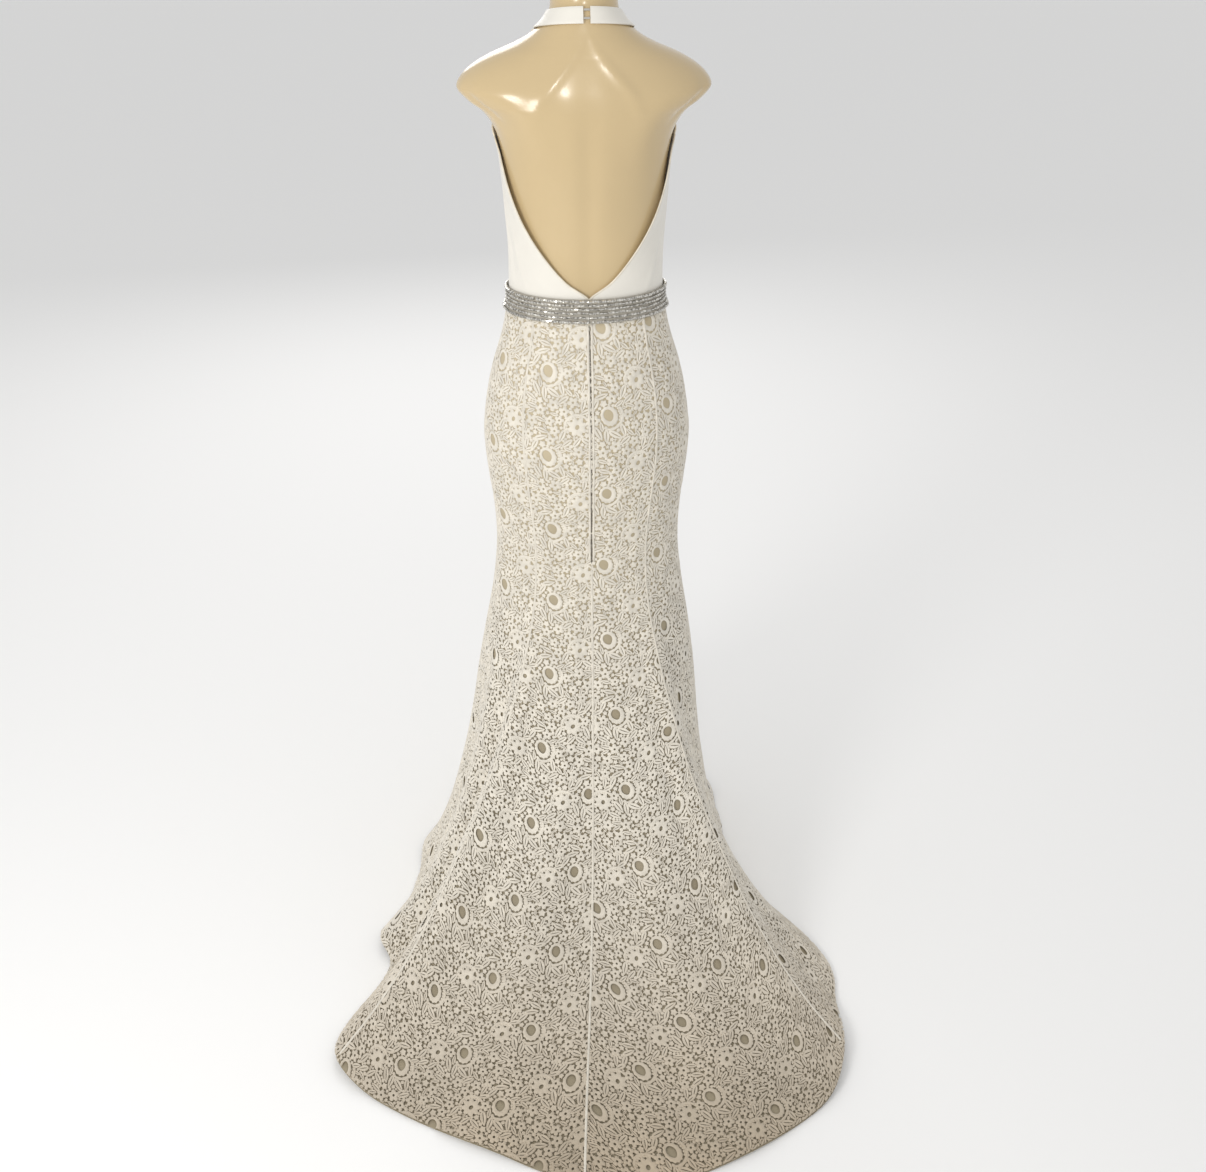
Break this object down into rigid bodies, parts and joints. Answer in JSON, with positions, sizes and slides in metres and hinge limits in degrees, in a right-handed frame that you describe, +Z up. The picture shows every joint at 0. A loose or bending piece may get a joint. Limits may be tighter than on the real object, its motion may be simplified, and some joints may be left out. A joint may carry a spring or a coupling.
{
  "type": "mermaid gown on dress form",
  "caption": "Halter-neck mermaid gown of satin and floral lace with a low open back, beaded waist belt and short train, standing on a limbless dress form.",
  "frame": {"origin": "on the floor, at the middle of the stand's round base, under the form's axis", "axes": "+Z up; the gown's front faces -Y and its train runs out along +Y; the wearer's left is +X"},
  "size_m": [0.8155, 1.0236, 1.51],
  "materials": {
    "satin": "soft satin",
    "lace": "corded floral lace",
    "lining": "matt nude lining",
    "beads": "silver-lined bugle beads on a band",
    "zip": "concealed zip coil",
    "hooks": "plated",
    "shell": "glossy beige shell",
    "stand": "brushed"
  },
  "bodies": {
    "root": {"bodice_back_left": "satin", "bodice_back_right": "satin", "bodice_front": "satin", "centre_back_zip": "zip", "form_base": "stand", "form_pole": "stand", "form_torso": "shell", "hook_lower": "hooks", "hook_upper": "hooks", "lace_back_left": "lace", "lace_back_right": "lace", "lace_front": "lace", "lace_side_back_left": "lace", "lace_side_back_right": "lace", "lace_side_front_left": "lace", "lace_side_front_right": "lace", "lining_back_left": "lining", "lining_back_right": "lining", "lining_front": "lining", "neck_band": "satin", "waist_belt": "beads"}
  },
  "joints": []
}
